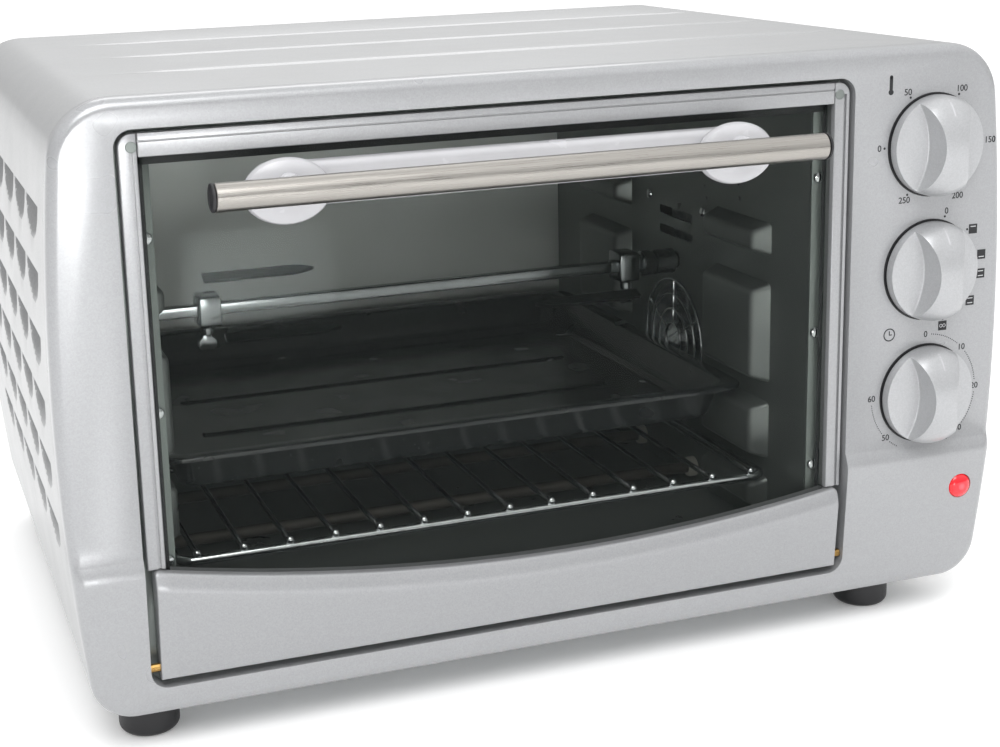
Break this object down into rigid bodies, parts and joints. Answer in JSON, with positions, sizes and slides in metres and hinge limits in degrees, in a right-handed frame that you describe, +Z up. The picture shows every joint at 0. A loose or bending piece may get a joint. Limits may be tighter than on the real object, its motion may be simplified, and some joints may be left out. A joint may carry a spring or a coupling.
{
  "type": "rotisserie oven",
  "caption": "Countertop rotisserie oven with a drop-down glass door, motor-driven spit with forks, wire rack, tray, convection fan and dial controls.",
  "frame": {"origin": "on the worktop, under the centre of the overall bounding box", "axes": "+X to the user's right, +Y to the rear, +Z up; the door faces -Y"},
  "size_m": [0.4698, 0.386, 0.293],
  "materials": {
    "body_paint": "silver metallic paint, satin",
    "bezel_plastic": "silver paint on plastic, semi-gloss",
    "trim_plastic": "silver paint on plastic, semi-gloss",
    "knob_plastic": "silver paint on plastic, satin",
    "bar_plastic": "light silver, glossy",
    "brushed_steel": "brushed lengthways",
    "plain_steel": "bright plated wire and sheet",
    "cavity_steel": "aluminised sheet, satin",
    "galvanised": "galvanised sheet",
    "black_plastic": "black, satin",
    "black_enamel": "vitreous enamel, glossy",
    "black_rubber": "matte",
    "glass": "clear, slightly tinted",
    "red_lens": "translucent red",
    "brass": "plain",
    "element_sheath": "heat-darkened sheath"
  },
  "bodies": {
    "oven_body": {"outer_wrap": "body_paint", "rear_panel": "body_paint", "base_panel": "galvanised", "rotisserie_motor": "galvanised", "fan_housing": "galvanised", "fan_motor": "galvanised", "timer_mechanism": "galvanised", "front_bezel": "bezel_plastic", "foot_front_left": "black_plastic", "foot_front_right": "black_plastic", "foot_rear_left": "black_plastic", "foot_rear_right": "black_plastic", "thermostat": "black_plastic", "function_switch": "black_plastic", "pilot_lamp_body": "black_plastic", "terminal_block": "black_plastic", "cavity_left_wall": "cavity_steel", "cavity_right_wall": "cavity_steel", "cavity_ceiling": "cavity_steel", "cavity_floor": "cavity_steel", "cavity_back_wall": "cavity_steel", "cavity_front_flange": "cavity_steel", "upper_front_element": "element_sheath", "upper_rear_element": "element_sheath", "lower_front_element": "element_sheath", "lower_rear_element": "element_sheath", "spit_bearing_bracket": "plain_steel", "fan_guard": "plain_steel", "hinge_pin_left": "brass", "hinge_pin_right": "brass", "pilot_lamp_lens": "red_lens", "cable_gland": "black_rubber"},
    "door": {"door_glass": "glass", "door_left_stile": "trim_plastic", "door_right_stile": "trim_plastic", "door_top_rail": "trim_plastic", "door_lower_trim": "trim_plastic", "handle_back_bar": "bar_plastic", "handle_tube": "brushed_steel", "handle_left_cap": "black_plastic", "handle_right_cap": "black_plastic", "door_stay_left": "plain_steel", "door_stay_right": "plain_steel"},
    "temperature_control": {"temperature_knob": "knob_plastic", "thermostat_shaft": "brass"},
    "function_control": {"function_knob": "knob_plastic", "function_shaft": "brass"},
    "timer_control": {"timer_knob": "knob_plastic", "timer_shaft": "brass"},
    "spit": {"spit_rod": "plain_steel", "drive_coupler": "galvanised"},
    "left_meat_fork": {"left_fork": "plain_steel"},
    "left_thumb_screw": {"left_fork_screw": "plain_steel"},
    "right_meat_fork": {"right_fork": "plain_steel"},
    "right_thumb_screw": {"right_fork_screw": "plain_steel"},
    "fan": {"fan_blade": "plain_steel"},
    "rack": {"wire_rack": "plain_steel"},
    "tray": {"baking_tray": "black_enamel"}
  },
  "joints": [
    {"name": "door_hinge", "type": "hinge", "parent": "oven_body", "child": "door", "pos_m": [0, -0.153, 0.04], "axis": [1, 0, 0], "range_deg": [0, 88]},
    {"name": "temperature_turn", "type": "hinge", "parent": "oven_body", "child": "temperature_control", "pos_m": [0.192, -0.157, 0.245], "axis": [0, 1, 0], "range_deg": [-90, 210]},
    {"name": "function_turn", "type": "hinge", "parent": "oven_body", "child": "function_control", "pos_m": [0.192, -0.157, 0.183], "axis": [0, 1, 0], "range_deg": [0, 162]},
    {"name": "timer_turn", "type": "hinge", "parent": "oven_body", "child": "timer_control", "pos_m": [0.192, -0.157, 0.12], "axis": [0, 1, 0], "range_deg": [0, 270]},
    {"name": "spit_turn", "type": "hinge", "parent": "oven_body", "child": "spit", "pos_m": [0, -0.002, 0.164], "axis": [1, 0, 0], "continuous": true},
    {"name": "left_fork_slide", "type": "slide", "parent": "spit", "child": "left_meat_fork", "axis": [1, 0, 0], "range_m": [-0.02, 0.05]},
    {"name": "right_fork_slide", "type": "slide", "parent": "spit", "child": "right_meat_fork", "axis": [1, 0, 0], "range_m": [-0.05, 0]},
    {"name": "left_screw_turn", "type": "hinge", "parent": "left_meat_fork", "child": "left_thumb_screw", "pos_m": [-0.138, -0.002, 0.164], "axis": [0, 0, 1], "range_deg": [-360, 360]},
    {"name": "right_screw_turn", "type": "hinge", "parent": "right_meat_fork", "child": "right_thumb_screw", "pos_m": [0.101, -0.002, 0.164], "axis": [0, 0, 1], "range_deg": [-360, 360]},
    {"name": "fan_turn", "type": "hinge", "parent": "oven_body", "child": "fan", "pos_m": [0.139, -0.002, 0.118], "axis": [1, 0, 0], "continuous": true},
    {"name": "rack_slide", "type": "slide", "parent": "oven_body", "child": "rack", "axis": [0, -1, 0], "range_m": [0, 0.09]},
    {"name": "tray_slide", "type": "slide", "parent": "oven_body", "child": "tray", "axis": [0, -1, 0], "range_m": [0, 0.11]}
  ],
  "couplings": [
    {"joint": "rack_slide", "follows": "door_hinge", "m_per_rad": 0.0585},
    {"joint": "tray_slide", "follows": "door_hinge", "m_per_rad": 0.0715}
  ]
}
